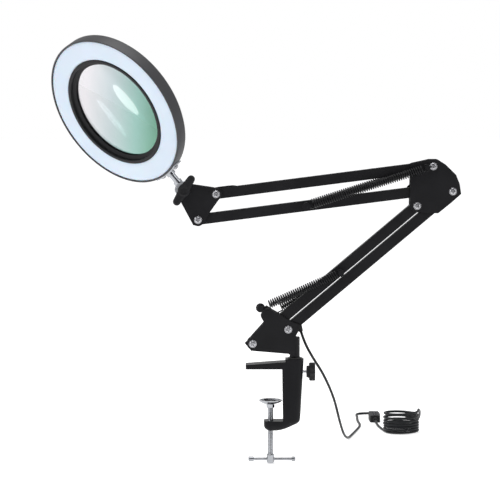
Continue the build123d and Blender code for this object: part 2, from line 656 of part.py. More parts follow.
with BuildPart() as switch_reliefs:
    for side in (-1, 1):
        start_y = switch_y + side * switch_length / 2
        with BuildSketch(Plane(origin=(switch_x, start_y, switch_axis_z), z_dir=(0, side, 0))):
            Circle(3.0)
        extrude(amount=relief, taper=7)
pieces["switch_reliefs"] = switch_reliefs

# ---- USB-A plug, which takes the standard size ----
body_length, body_width, body_height = 18.0, 14.5, 8.0
shell_length, shell_width, shell_thick, shell_sheet = 12.0, 12.0, 4.5, 0.3
with BuildPart() as plug_body:
    with BuildSketch(Plane(origin=(plug_x, plug_y, plug_axis_z), x_dir=(1, 0, 0), z_dir=(0, 1, 0))):
        RectangleRounded(body_width, body_height, 1.6)
    extrude(amount=body_length)
    with BuildSketch(Plane(origin=(plug_x, plug_y, plug_axis_z), z_dir=(0, -1, 0))):
        Circle(2.9)
    extrude(amount=plug_relief, taper=7)
    fillet(plug_body.faces().sort_by(Axis.Y)[-1].edges(), 0.6)
pieces["plug_body"] = plug_body

plug_face = Plane(origin=(plug_x, plug_y + body_length, plug_axis_z), x_dir=(1, 0, 0), z_dir=(0, 1, 0))
with BuildPart() as plug_shell:
    with BuildSketch(plug_face):
        RectangleRounded(shell_width, shell_thick, 0.5)
        Rectangle(shell_width - 2 * shell_sheet, shell_thick - 2 * shell_sheet, mode=Mode.SUBTRACT)
    extrude(amount=shell_length)
    with BuildSketch(Plane((plug_x, plug_y + body_length + 5.4, plug_axis_z))):
        with GridLocations(4.6, 1, 2, 1):
            Rectangle(2.2, 2.2)
    extrude(amount=shell_thick, both=True, mode=Mode.SUBTRACT)
pieces["plug_shell"] = plug_shell

with BuildPart() as plug_tongue:
    with BuildSketch(plug_face):
        with Locations((0, 1.0)):
            Rectangle(shell_width - 2 * shell_sheet - 0.2, 1.8)
    extrude(amount=shell_length - 0.7)
pieces["plug_tongue"] = plug_tongue

os.makedirs("parts", exist_ok=True)
for name, piece in pieces.items():
    piece.part.label = name
    export_step(piece.part, f"parts/{name}.step")
print(len(pieces), "pieces")
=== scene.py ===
import json
import math
import random

import bmesh
import bpy
from mathutils import Matrix, Quaternion, Vector


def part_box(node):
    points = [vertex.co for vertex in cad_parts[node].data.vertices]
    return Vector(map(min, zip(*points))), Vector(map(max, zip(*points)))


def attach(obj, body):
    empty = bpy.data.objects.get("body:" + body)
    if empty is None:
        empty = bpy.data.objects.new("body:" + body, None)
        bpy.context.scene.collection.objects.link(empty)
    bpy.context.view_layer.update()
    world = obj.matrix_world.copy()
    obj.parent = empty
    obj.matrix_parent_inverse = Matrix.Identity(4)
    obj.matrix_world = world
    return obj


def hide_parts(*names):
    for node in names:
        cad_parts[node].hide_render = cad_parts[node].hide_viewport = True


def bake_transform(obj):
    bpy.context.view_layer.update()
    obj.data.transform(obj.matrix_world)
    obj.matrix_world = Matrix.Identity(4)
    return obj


# The looks of a clamp-on magnifying lamp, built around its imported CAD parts. Metres, +Z up, front is -Y.
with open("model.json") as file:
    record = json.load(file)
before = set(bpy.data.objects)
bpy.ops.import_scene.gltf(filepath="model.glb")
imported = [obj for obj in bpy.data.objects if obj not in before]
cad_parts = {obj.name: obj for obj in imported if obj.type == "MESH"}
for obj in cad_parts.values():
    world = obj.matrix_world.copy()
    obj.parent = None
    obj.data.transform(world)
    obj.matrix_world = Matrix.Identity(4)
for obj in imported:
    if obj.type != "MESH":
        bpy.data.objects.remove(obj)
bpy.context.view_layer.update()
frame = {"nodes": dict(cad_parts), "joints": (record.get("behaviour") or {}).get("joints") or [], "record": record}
random.seed(7)

MM = 0.001
FRONT = Vector((0, -1, 0))
UP = Vector((0, 0, 1))

# ---- places, from the frame ----
joint = {j["name"]: j for j in frame["joints"]}


def pivot(name):
    return Vector(joint[name]["pos_m"])


def middle(node):
    low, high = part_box(node)
    return (Vector(low) + Vector(high)) / 2


base_right = pivot("lower_arm_tilt")
base_left = pivot("lower_left_tilt")
elbow_right = pivot("elbow_level")
elbow_left = base_left + elbow_right - base_right
elbow_top = pivot("upper_arm_tilt")
elbow_back = pivot("upper_bottom_tilt")
head_top = pivot("bracket_level")
head_low = elbow_back + head_top - elbow_top
wrist = pivot("head_tilt")
head_centre = pivot("head_twist")
to_neck = Vector(joint["head_twist"]["axis"])
HEAD_TWIST = math.radians(48.5)
facing = Matrix.Rotation(HEAD_TWIST, 3, to_neck) @ FRONT


def frame_at(origin, z_axis, x_axis):
    """The matrix that takes a shape drawn round its own Z axis to a place on the lamp."""
    z = Vector(z_axis).normalized()
    x = (Vector(x_axis) - z * z.dot(Vector(x_axis))).normalized()
    y = z.cross(x)
    turn = Matrix((x, y, z)).transposed().to_4x4()
    return Matrix.Translation(origin) @ turn


# ---- camera ----
CAMERA_AT = Vector((-0.0226, -2.1932, 0.3034))
LOOK_AT = Vector((-0.0226, 0.0, 0.1308))
CAMERA_LENS, CAMERA_SENSOR = 144.3, 36
camera_data = bpy.data.cameras.new("camera")
camera_data.lens = CAMERA_LENS
camera_data.sensor_width = CAMERA_SENSOR
camera = bpy.data.objects.new("camera", camera_data)
camera.location = CAMERA_AT
camera.rotation_euler = (LOOK_AT - CAMERA_AT).to_track_quat("-Z", "Y").to_euler()
bpy.context.scene.collection.objects.link(camera)
bpy.context.scene.camera = camera
bpy.context.scene.view_settings.view_transform = "Standard"


# ---- materials ----
def new_material(name):
    material = bpy.data.materials.new(name)
    material.use_nodes = True
    nodes = material.node_tree.nodes
    return material, nodes, material.node_tree.links, nodes["Principled BSDF"]


def noise(nodes, links, scale, detail=4.0):
    """Noise over the piece's own place in the lamp, so that its grain has a real size."""
    coordinates = nodes.new("ShaderNodeTexCoord")
    texture = nodes.new("ShaderNodeTexNoise")
    texture.inputs["Scale"].default_value = scale
    texture.inputs["Detail"].default_value = detail
    links.new(coordinates.outputs["Object"], texture.inputs["Vector"])
    return texture.outputs["Fac"]


def stops(nodes, colours):
    """A colour ramp through several stops, each a place and a colour."""
    node = nodes.new("ShaderNodeValToRGB")
    elements = node.color_ramp.elements
    for number, (place, colour) in enumerate(colours):
        element = elements[number] if number < 2 else elements.new(place)
        element.position = place
        element.color = (*colour, 1)
    return node


def ramp(nodes, links, value, dark, light, spread=(0.35, 0.65)):
    """Two colours mixed by a value."""
    mix = stops(nodes, ((spread[0], dark), (spread[1], light)))
    links.new(value, mix.inputs["Fac"])
    return mix.outputs["Color"]


def spread_roughness(nodes, links, shader, value, low, high):
    """Roughness that varies between two values, as handling and tooling leave it."""
    limits = nodes.new("ShaderNodeMapRange")
    limits.inputs["To Min"].default_value = low
    limits.inputs["To Max"].default_value = high
    links.new(value, limits.inputs["Value"])
    links.new(limits.outputs["Result"], shader.inputs["Roughness"])


def grain(nodes, links, shader, value, strength, distance, edge=0.0):
    """Fine relief, over edges rounded by the given radius."""
    bump = nodes.new("ShaderNodeBump")
    bump.inputs["Strength"].default_value = strength
    bump.inputs["Distance"].default_value = distance
    links.new(value, bump.inputs["Height"])
    if edge:
        rounding = nodes.new("ShaderNodeBevel")
        rounding.samples = 4
        rounding.inputs["Radius"].default_value = edge
        links.new(rounding.outputs["Normal"], bump.inputs["Normal"])
    links.new(bump.outputs["Normal"], shader.inputs["Normal"])


def coated_metal(name, colour, roughness=(0.38, 0.5), specular=0.35, edge=0.5 * MM):
    """Powder coat: fine orange peel, and a slow change of gloss."""
    material, nodes, links, shader = new_material(name)
    slow = noise(nodes, links, scale=45)
    lighter = tuple(1.35 * c for c in colour)
    links.new(ramp(nodes, links, slow, colour, lighter), shader.inputs["Base Color"])
    spread_roughness(nodes, links, shader, slow, *roughness)
    peel = noise(nodes, links, scale=2600)
    grain(nodes, links, shader, peel, strength=0.25, distance=0.06 * MM, edge=edge)
    shader.inputs["Specular IOR Level"].default_value = specular
    return material


def plated(name, colour, roughness, edge=0.3 * MM):
    """Plated metal with faint smears and tool marks."""
    material, nodes, links, shader = new_material(name)
    smear = noise(nodes, links, scale=160)
    darker = tuple(0.82 * c for c in colour)
    links.new(ramp(nodes, links, smear, darker, colour), shader.inputs["Base Color"])
    spread_roughness(nodes, links, shader, smear, *roughness)
    marks = noise(nodes, links, scale=900)
    grain(nodes, links, shader, marks, strength=0.06, distance=0.03 * MM, edge=edge)
    shader.inputs["Metallic"].default_value = 1.0
    return material


def moulded(name, colour, roughness, specular=0.4, texture=3200, relief=0.3, edge=0.4 * MM):
    """Moulded plastic or rubber with a spark-eroded grain."""
    material, nodes, links, shader = new_material(name)
    slow = noise(nodes, links, scale=30)
    lighter = tuple(min(1.25 * c, c + 0.04) for c in colour)
    links.new(ramp(nodes, links, slow, colour, lighter), shader.inputs["Base Color"])
    spread_roughness(nodes, links, shader, slow, *roughness)
    spark = noise(nodes, links, texture)
    grain(nodes, links, shader, spark, relief, distance=0.05 * MM, edge=edge)
    shader.inputs["Specular IOR Level"].default_value = specular
    return material


def opal_acrylic(name):
    """The diffuser: cool white, with a little light carried inside it."""
    material, nodes, links, shader = new_material(name)
    cloud = noise(nodes, links, scale=18)
    colours = ramp(nodes, links, cloud, (0.53, 0.61, 0.70), (0.56, 0.64, 0.73))
    links.new(colours, shader.inputs["Base Color"])
    spread_roughness(nodes, links, shader, cloud, 0.3, 0.42)
    frost = noise(nodes, links, scale=1500)
    grain(nodes, links, shader, frost, strength=0.05, distance=0.03 * MM)
    shader.inputs["Subsurface Weight"].default_value = 0.25
    shader.inputs["Subsurface Scale"].default_value = 1.5 * MM
    return material


# The lens's colour is painted reflection: the coating's pinkish and mint reflections, laid across the lens as a
# ramp.
LENS_PAINTED_REFLECTION_AXIS, LENS_PAINTED_REFLECTION_REACH = Vector((0.93, 0.0, -0.12)).normalized(), 50.0 * MM
PINKISH, GREY_MINT = (0.74, 0.72, 0.75), (0.48, 0.57, 0.59)
MINT, DEEP_MINT = (0.24, 0.48, 0.42), (0.08, 0.32, 0.20)


def glass_with_painted_reflections(name):
    """Lens glass whose colour is a painted reflection of its coating: pinkish at one side, mint at the other, and
    deep mint painted for refraction shade at the mint edge.
    """
    material, nodes, links, shader = new_material(name)
    coordinates = nodes.new("ShaderNodeTexCoord")
    across = nodes.new("ShaderNodeVectorMath")
    across.operation = "DOT_PRODUCT"
    across.inputs[1].default_value = LENS_PAINTED_REFLECTION_AXIS
    links.new(coordinates.outputs["Object"], across.inputs[0])
    limits = nodes.new("ShaderNodeMapRange")
    start = head_centre.dot(LENS_PAINTED_REFLECTION_AXIS)
    limits.inputs["From Min"].default_value = start - LENS_PAINTED_REFLECTION_REACH
    limits.inputs["From Max"].default_value = start + LENS_PAINTED_REFLECTION_REACH
    links.new(across.outputs["Value"], limits.inputs["Value"])
    # Painted reflection and shade: pinkish, grey mint and mint for the coating's reflections, deep mint for
    # refraction shade at the edge.
    painted_reflection = stops(nodes, ((0.12, PINKISH), (0.42, GREY_MINT), (0.72, MINT), (0.95, DEEP_MINT)))
    links.new(limits.outputs["Result"], painted_reflection.inputs["Fac"])
    links.new(painted_reflection.outputs["Color"], shader.inputs["Base Color"])
    spread_roughness(nodes, links, shader, noise(nodes, links, scale=60), 0.0, 0.02)
    shader.inputs["Transmission Weight"].default_value = 1.0
    shader.inputs["IOR"].default_value = 1.49
    shader.inputs["Coat Weight"].default_value = 0.6
    shader.inputs["Coat Roughness"].default_value = 0.03
    return material


materials = {
    "black_paint": coated_metal("black_paint", (0.007, 0.007, 0.008), specular=0.15),
    "black_frame": coated_metal("black_frame", (0.006, 0.006, 0.007), (0.34, 0.46), 0.12, 1.0 * MM),
    "spring_steel": coated_metal("spring_steel", (0.006, 0.006, 0.007), (0.24, 0.34), 0.22, 0.0),
    "bright_steel": plated("bright_steel", (0.46, 0.46, 0.48), (0.14, 0.26)),
    "chrome": plated("chrome", (0.38, 0.39, 0.41), (0.05, 0.12), 0.4 * MM),
    "black_plastic": moulded("black_plastic", (0.008, 0.008, 0.009), (0.42, 0.58), 0.2),
    "head_plastic": moulded("head_plastic", (0.022, 0.022, 0.025), (0.42, 0.56), 0.5, 2600, 0.35),
    "diffuser_white": opal_acrylic("diffuser_white"),
    "lens_glass": glass_with_painted_reflections("lens_glass"),
    "board_green": moulded("board_green", (0.78, 0.8, 0.78), (0.3, 0.45), 0.5, 800, 0.1),
    "led_yellow": moulded("led_yellow", (0.9, 0.78, 0.36), (0.2, 0.3), 0.5, 700, 0.1),
    "cord_pvc": moulded("cord_pvc", (0.008, 0.009, 0.010), (0.38, 0.5), 0.2, 1400, 0.15, 0.0),
    "button_rubber": moulded("button_rubber", (0.03, 0.03, 0.034), (0.6, 0.75), 0.3),
    "nylon": moulded("nylon", (0.018, 0.018, 0.018), (0.4, 0.5)),
    "plug_tongue_plastic": moulded("plug_tongue_plastic", (0.8, 0.8, 0.8), (0.4, 0.5)),
}
for part in frame["record"]["subparts"]:
    mesh = frame["nodes"][part["node"]].data
    mesh.materials.clear()
    mesh.materials.append(materials[part["material_slot"]])


# ---- shapes ----
def finished(name, mesh, slot, body, nodes=(), smooth=40.0):
    """A piece in the scene, with its finish, the body that it rides on and the CAD nodes it stands for."""
    mesh.materials.clear()
    mesh.materials.append(materials[slot])
    mesh.shade_smooth()
    if smooth:
        mesh.set_sharp_from_angle(angle=math.radians(smooth))
    piece = bpy.data.objects.new(name, mesh)
    bpy.context.scene.collection.objects.link(piece)
    if body:
        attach(piece, body)
    if nodes:
        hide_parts(*nodes)
    return piece


def lathe(profile, place=Matrix(), segments=64, closed=False):
    """A mesh turned round Z from (radius, height) points; the ends at radius 0 are closed to a point."""
    made = bmesh.new()
    rings = []
    for radius, height in profile:
        if radius < 1e-7:
            rings.append([made.verts.new((0, 0, height))])
            continue
        angles = [2 * math.pi * k / segments for k in range(segments)]
        rings.append([made.verts.new((radius * math.cos(a), radius * math.sin(a), height)) for a in angles])
    pairs = list(zip(rings, rings[1:]))
    if closed:
        pairs.append((rings[-1], rings[0]))
    for low, high in pairs:
        for k in range(segments):
            corners = [low[k % len(low)], low[(k + 1) % len(low)],
                       high[(k + 1) % len(high)], high[k % len(high)]]
            corners = list(dict.fromkeys(corners))
            if len(corners) > 2:
                made.faces.new(corners)
    bmesh.ops.recalc_face_normals(made, faces=made.faces)
    made.transform(place)
    mesh = bpy.data.meshes.new("lathe")
    made.to_mesh(mesh)
    made.free()
    return mesh


SIDE_SHARE = 2.2


def rounded(corners, radius, steps=4):
    """A closed section with each corner rounded by at most a little under half of its sides."""
    points = []
    for k, corner in enumerate(corners):
        before, after = Vector(corners[k - 1]), Vector(corners[(k + 1) % len(corners)])
        here = Vector(corner)
        reach = min(radius, (before - here).length / SIDE_SHARE, (after - here).length / SIDE_SHARE)
        start = here + (before - here).normalized() * reach
        end = here + (after - here).normalized() * reach
        for step in range(steps + 1):
            t = step / steps
            points.append(tuple(start * (1 - t) ** 2 + here * 2 * t * (1 - t) + end * t * t))
    return points


def pin(radius, low, high, place=Matrix(), segments=32):
    """A plain round pin along Z."""
    return lathe([(0, low), (radius, low), (radius, high), (0, high)], place, segments)


def tube(path, radius, sides=10):
    """A round wire along a path of points, with flat ends."""
    points = [Vector(p) for p in path]
    made = bmesh.new()
    rings = []
    tangent = (points[1] - points[0]).normalized()
    side = tangent.orthogonal().normalized()
    for k, point in enumerate(points):
        ahead = points[min(k + 1, len(points) - 1)] - points[max(k - 1, 0)]
        turned = ahead.normalized()
        side = (tangent.rotation_difference(turned) @ side).normalized()
        tangent = turned
        up = tangent.cross(side)
        ring = []
        for s in range(sides):
            a = 2 * math.pi * s / sides
            ring.append(made.verts.new(point + (side * math.cos(a) + up * math.sin(a)) * radius))
        rings.append(ring)
    for low, high in zip(rings, rings[1:]):
        for s in range(sides):
            t = (s + 1) % sides
            made.faces.new([low[s], low[t], high[t], high[s]])
    made.faces.new(list(reversed(rings[0])))
    made.faces.new(rings[-1])
    mesh = bpy.data.meshes.new("tube")
    made.to_mesh(mesh)
    made.free()
    return mesh


def slab(outlines, low, high, edge, place=Matrix()):
    """A flat shape with rounded edges; its outlines are drawn in X and Y, any hole among them."""
    curve = bpy.data.curves.new("slab", "CURVE")
    curve.dimensions = "2D"
    curve.fill_mode = "BOTH"
    curve.extrude = (high - low) / 2 - edge
    curve.bevel_depth = edge
    curve.bevel_resolution = 3
    curve.offset = -edge
    for outline in outlines:
        spline = curve.splines.new("POLY")
        spline.points.add(len(outline) - 1)
        for point, (x, y) in zip(spline.points, outline):
            point.co = (x, y, 0, 1)
        spline.use_cyclic_u = True
    holder = bpy.data.objects.new("slab", curve)
    bpy.context.scene.collection.objects.link(holder)
    graph = bpy.context.evaluated_depsgraph_get()
    mesh = bpy.data.meshes.new_from_object(holder.evaluated_get(graph))
    bpy.data.objects.remove(holder)
    mesh.transform(place @ Matrix.Translation((0, 0, (low + high) / 2)))
    return mesh


def circle(radius, count=48, centre=(0, 0)):
    angles = [2 * math.pi * k / count for k in range(count)]
    return [(centre[0] + radius * math.cos(a), centre[1] + radius * math.sin(a)) for a in angles]


def joined(meshes):
    """Several meshes as one."""
    made = bmesh.new()
    for mesh in meshes:
        made.from_mesh(mesh)
    whole = bpy.data.meshes.new("joined")
    made.to_mesh(whole)
    made.free()
    return whole


def cut(mesh, tool):
    """A mesh with another taken out of it."""
    body = bpy.data.objects.new("body", mesh)
    blade = bpy.data.objects.new("blade", tool)
    bpy.context.scene.collection.objects.link(body)
    bpy.context.scene.collection.objects.link(blade)
    boolean = body.modifiers.new("cut", "BOOLEAN")
    boolean.operation = "DIFFERENCE"
    boolean.object = blade
    graph = bpy.context.evaluated_depsgraph_get()
    result = bpy.data.meshes.new_from_object(body.evaluated_get(graph))
    bpy.data.objects.remove(body)
    bpy.data.objects.remove(blade)
    return result


# ---- cord ----
CORD_R = 1.5 * MM
FLOOR = -106.0 * MM
LYING = FLOOR + CORD_R
COIL_CENTRE = Vector((160.0, 205.0, 0.0)) * MM
COIL_TURNS, COIL_STEPS = 6.5, 14
COIL_RADII = (20.6, 20.9, 20.4, 21.0, 20.5, 20.9, 20.3, 20.8, 21.0)
TIGHT_PITCH, LOOSE_FROM, LOOSE_RISE = 3.05 * MM, 3.0, 4.6 * MM
# Past this point the cord stays where it lies when the base swivels.
route = [(33.8, 13.4, 39.4), (37.2, 15.2, 28.0), (47.0, 24.0, 9.0), (60.0, 40.0, -12.0),
         (73.0, 66.0, -43.0), (80.0, 92.0, -72.0), (86.5, 120.0, -94.5), (93.0, 150.0, -104.5),
         (100.0, 181.0, -104.5), (107.0, 213.0, -104.5), (113.5, 246.0, -104.5), (111.0, 280.0, -104.5),
         (112.6, 312.0, -104.5), (112.0, 332.1, -104.5), (122.5, 338.1, -104.5), (133.0, 332.1, -103.6),
         (133.0, 321.0, -101.7), (133.0, 293.0, -101.7), (133.0, 265.0, -101.7), (133.4, 252.0, -103.9),
         (135.6, 231.0, -104.5)]
plug_route = [(181.0, 207.0, -80.0), (182.2, 221.0, -80.6), (185.5, 238.0, -86.0), (186.0, 256.0, -97.0),
              (182.5, 272.0, -103.3), (180.0, 285.0, -102.0)]


def coil_points():
    """The loose turns of the spare cord: each differs a little in size, and the top ones lie apart."""
    total = int(COIL_TURNS * COIL_STEPS)
    points = []
    for step in range(1, total):
        turn = step / COIL_STEPS
        k, part = int(turn), turn - int(turn)
        radius = (COIL_RADII[k] * (1 - part) + COIL_RADII[k + 1] * part) * MM
        angle = math.pi + 2 * math.pi * turn
        loose = max(0.0, turn - LOOSE_FROM) / (COIL_TURNS - LOOSE_FROM)
        height = LYING + TIGHT_PITCH * turn + LOOSE_RISE * loose**2
        points.append(COIL_CENTRE + Vector((radius * math.cos(angle), radius * math.sin(angle), height)))
    return points


cord_points = [Vector(p) * MM for p in route] + coil_points() + [Vector(p) * MM for p in plug_route]
cord_curve = bpy.data.curves.new("cord_line", "CURVE")
cord_curve.dimensions = "3D"
cord_curve.resolution_u = 5
cord_line = cord_curve.splines.new("NURBS")
cord_line.points.add(len(cord_points) - 1)
for point, place in zip(cord_line.points, cord_points):
    point.co = (*place, 1)
cord_line.order_u = 3
cord_line.use_endpoint_u = True
cord_holder = bpy.data.objects.new("cord_line", cord_curve)
bpy.context.scene.collection.objects.link(cord_holder)
cord_graph = bpy.context.evaluated_depsgraph_get()
cord_mesh = bpy.data.meshes.new_from_object(cord_holder.evaluated_get(cord_graph))
cord_path = [vertex.co.copy() for vertex in cord_mesh.vertices]
bpy.data.objects.remove(cord_holder)

CORD_NODES = ("cord_drop", "cord_lead", "cord_to_coil", "cord_coil", "cord_to_plug")
flex = finished("flex", tube(cord_path, CORD_R, 12), "cord_pvc", None, CORD_NODES, smooth=0)
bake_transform(flex)


RELIEF_SUNK, RELIEF_COLLAR = 1.0 * MM, 0.6 * MM
# One rib of a strain relief, from groove to crest, as shares of the sleeve's radius and of the rib's length.
RIB = ((0.78, 0.1), (0.78, 0.38), (0.97, 0.46), (1.0, 0.7), (0.95, 0.97))


def relief(length, wide, narrow, ribs):
    """A strain relief: a tapering sleeve with raised ribs, its wide end at Z = 0."""
    profile = [(0, -RELIEF_SUNK), (wide, -RELIEF_SUNK), (wide, RELIEF_COLLAR)]
    gap = (length - RELIEF_COLLAR) / ribs
    for k in range(ribs):
        start = RELIEF_COLLAR + k * gap
        size = wide + (narrow - wide) * (k + 0.5) / ribs
        profile += [(size * width, start + along * gap) for width, along in RIB]
    return profile + [(0, length)]


# ---- switch ----
switch_low, switch_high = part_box("switch_bottom")
switch_middle = middle("switch_bottom")
relief_low, relief_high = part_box("switch_reliefs")
relief_z = (relief_low[2] + relief_high[2]) / 2
far_relief = frame_at((switch_middle.x, switch_high[1], relief_z), (0, 1, 0), UP)
near_relief = frame_at((switch_middle.x, switch_low[1], relief_z), (0, -1, 0), UP)
relief_length = relief_high[1] - switch_high[1]
RELIEF_R, RELIEF_TIP_R = 3.0 * MM, 2.0 * MM
switch_reliefs = finished("switch_reliefs_ribbed", joined([
    lathe(relief(relief_length, RELIEF_R, RELIEF_TIP_R, ribs=3), far_relief, 32),
    lathe(relief(relief_length, RELIEF_R, RELIEF_TIP_R, ribs=2), near_relief, 32)]),
    "black_plastic", "clamp", ["switch_reliefs"])


def bowed(half_length, end, bulge, count=16):
    """The plan of the switch: straight ends and long sides bowed outwards."""
    right = []
    for k in range(count + 1):
        y = half_length * (2 * k / count - 1)
        right.append((end + bulge * (1 - (y / half_length) ** 2), y))
    return right + [(-x, y) for x, y in reversed(right)]


def plus_sign(reach, half):
    """The outline of a plus sign: three corners, turned a quarter at a time."""
    corners = [(-reach, -half), (-half, -half), (-half, -reach)]
    points = []
    for quarter in range(4):
        points += corners
        corners = [(-y, x) for x, y in corners]
    return points


PANEL_HALF, PANEL_END, PANEL_BULGE, PANEL_EDGE = 15.6 * MM, 3.9 * MM, 1.2 * MM, 0.15 * MM
PANEL_SUNK, PANEL_PROUD = 0.3 * MM, 0.35 * MM
BUTTONS, BUTTON_PITCH, BUTTON_HOLE_R = 4, 7.4 * MM, 2.45 * MM
top_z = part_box("switch_top")[1][2]
switch_place = Matrix.Translation((switch_middle.x, switch_middle.y, 0))
panel_outline = [bowed(PANEL_HALF, PANEL_END, PANEL_BULGE)]
for k in range(BUTTONS):
    panel_outline.append(circle(BUTTON_HOLE_R, 32, (0, ((BUTTONS - 1) / 2 - k) * BUTTON_PITCH)))
panel = slab(panel_outline, top_z - PANEL_SUNK, top_z + PANEL_PROUD, PANEL_EDGE, switch_place)
switch_panel = finished("switch_panel", panel, "button_rubber", "clamp")

MARK_REACH, MARK_HALF = 0.9 * MM, 0.12 * MM
MARK_SUNK, MARK_PROUD, MARK_EDGE = 0.1 * MM, 0.06 * MM, 0.02 * MM
mark_outlines = {
    "power": [circle(1.0 * MM, 24), circle(0.75 * MM, 24)],
    "brighter": [plus_sign(MARK_REACH, MARK_HALF)],
    "dimmer": [[(-MARK_REACH, -MARK_HALF), (MARK_REACH, -MARK_HALF), (MARK_REACH, MARK_HALF),
                (-MARK_REACH, MARK_HALF)]],
    "colour": [circle(0.55 * MM, 24)],
}
for body, outlines in mark_outlines.items():
    low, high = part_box("button_" + body)
    place = Matrix.Translation(((low[0] + high[0]) / 2, (low[1] + high[1]) / 2, 0))
    finished("mark_" + body, slab(outlines, high[2] - MARK_SUNK, high[2] + MARK_PROUD, MARK_EDGE, place),
             "plug_tongue_plastic", body)

# ---- plug ----
plug_low, plug_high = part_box("plug_body")
plug_middle = middle("plug_body")
PLUG_BODY, PLUG_CORNER, PLUG_EDGE = 18.0 * MM, 2.4 * MM, 0.8 * MM
PLUG_RELIEF, PLUG_RELIEF_R, PLUG_RELIEF_TIP_R = 8.0 * MM, 2.9 * MM, 2.1 * MM
plug_start = plug_high[1] - PLUG_BODY


def rounded_rectangle(width, height, corner, steps=6):
    """An outline in X and Y."""
    x, y = width / 2, height / 2
    return rounded([(-x, -y), (x, -y), (x, y), (-x, y)], corner, steps)


plug_axis = frame_at((plug_middle.x, plug_start, plug_middle.z), (0, 1, 0), (1, 0, 0))
plug_back = frame_at((plug_middle.x, plug_start, plug_middle.z), (0, -1, 0), (1, 0, 0))
plug_outline = rounded_rectangle(plug_high[0] - plug_low[0], plug_high[2] - plug_low[2], PLUG_CORNER)
plug_overmould = finished("plug_overmould", joined([
    slab([plug_outline], 0, PLUG_BODY, PLUG_EDGE, plug_axis),
    lathe(relief(PLUG_RELIEF, PLUG_RELIEF_R, PLUG_RELIEF_TIP_R, ribs=2), plug_back, 32)]),
    "black_plastic", "clamp", ["plug_body"])


# ---- springs ----
WIRE_R, SPRING_R, SPRING_PITCH, HOOK_R = 0.72 * MM, 4.85 * MM, 2.45 * MM, 3.6 * MM
SPRING_PIN_R, RIGID_END = 2.1 * MM, 4 * MM
FIRST_HOOK_FROM, LAST_HOOK_FROM, HOOK_SWEEP = 70, -125, 235


def spring_mesh(start, end, lead, tail, pin_r):
    """A tension spring from pin to pin: a hook, its close coils and a second hook, in one wire."""
    along = (end - start).normalized()
    across = along.cross(Vector((0, 1, 0))).normalized()
    coil_r = SPRING_R - WIRE_R
    length = (end - start).length
    turns = round((length - lead - tail) / SPRING_PITCH)
    slip = HOOK_R - pin_r - WIRE_R
    steps, hook_steps = 14, 16
    points = []
    hook = start + along * slip
    for k in range(hook_steps + 1):
        a = math.radians(FIRST_HOOK_FROM + HOOK_SWEEP * k / hook_steps)
        points.append(hook + (along * math.cos(a) + across * math.sin(a)) * HOOK_R)
    for k in range(turns * steps + 1):
        a = 2 * math.pi * k / steps
        height = lead + (length - lead - tail) * k / (turns * steps)
        radial = -across * math.cos(a) + Vector((0, math.sin(a), 0))
        points.append(start + along * height + radial * coil_r)
    hook = end - along * slip
    for k in range(hook_steps + 1):
        a = math.radians(LAST_HOOK_FROM + HOOK_SWEEP * k / hook_steps)
        points.append(hook + (along * math.cos(a) + across * math.sin(a)) * HOOK_R)
    return tube(points, WIRE_R, 8)


def side_of(node):
    """How far to the front or the back of the arm's plane a node lies."""
    return Vector((0, middle(node).y, 0))


def flat_middle(node):
    """A node's middle, moved into the arm's plane."""
    place = middle(node)
    return Vector((place.x, 0, place.z))


hanger_front = base_left + Vector((8.4, 0, 39.6)) * MM
hanger_back = base_left + Vector((17.0, 0, 30.4)) * MM
lower_pin = flat_middle("lower_spring_pin")
upper_pin = flat_middle("upper_spring_pin")
anchor = flat_middle("spring_anchors")
FRONT_LEAD, BACK_LEAD, LOWER_TAIL = 10.0 * MM, 16.0 * MM, 5.0 * MM
UPPER_LEAD, UPPER_TAIL = 7.0 * MM, 5.5 * MM
# Each spring: its node, the bodies and pins at its ends, and its straight wire before and after the coils.
springs = [
    ("lower_spring_front", "base_bracket", "lower_left", hanger_front, lower_pin, FRONT_LEAD, LOWER_TAIL),
    ("lower_spring_back", "base_bracket", "lower_left", hanger_back, lower_pin, BACK_LEAD, LOWER_TAIL),
    ("upper_spring_front", "upper_bottom", "elbow", upper_pin, anchor, UPPER_LEAD, UPPER_TAIL),
    ("upper_spring_back", "upper_bottom", "elbow", upper_pin, anchor, UPPER_LEAD, UPPER_TAIL)]
for node, first, second, start, end, lead, tail in springs:
    offset = side_of(node)
    mesh = spring_mesh(start + offset, end + offset, lead, tail, SPRING_PIN_R)
    wire = finished(node + "_wire", mesh, "spring_steel", None, [node], smooth=0)
    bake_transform(wire)


# ---- pivot screws ----
RECESS_SPAN, RECESS_DEPTH, RECESS_BLADE, RECESS_TAPER, RECESS_ABOVE = 1.45, 0.8, 0.3, 0.55, 0.05 * MM


def cross_recess(size, depth, top):
    """The two cutters for a cross recess, tapering towards its floor."""
    blades = []
    for wide, narrow in ((size, size * RECESS_BLADE), (size * RECESS_BLADE, size)):
        made = bmesh.new()
        bmesh.ops.create_cube(made, size=1.0)
        for vertex in made.verts:
            taper = 1.0 if vertex.co.z > 0 else RECESS_TAPER
            vertex.co = Vector((vertex.co.x * wide * taper, vertex.co.y * narrow * taper,
                                top - depth / 2 + vertex.co.z * depth))
        mesh = bpy.data.meshes.new("blade")
        made.to_mesh(mesh)
        made.free()
        blades.append(mesh)
    return blades


# A pan head's outline as shares of its radius and height, and its size against its washer.
PAN = ((1.0, 0.0), (1.0, 0.3), (0.96, 0.55), (0.84, 0.78), (0.6, 0.94))
PAN_IN_WASHER, WASHER_BORE, WASHER_EDGE = 0.84, 0.6, 0.2 * MM


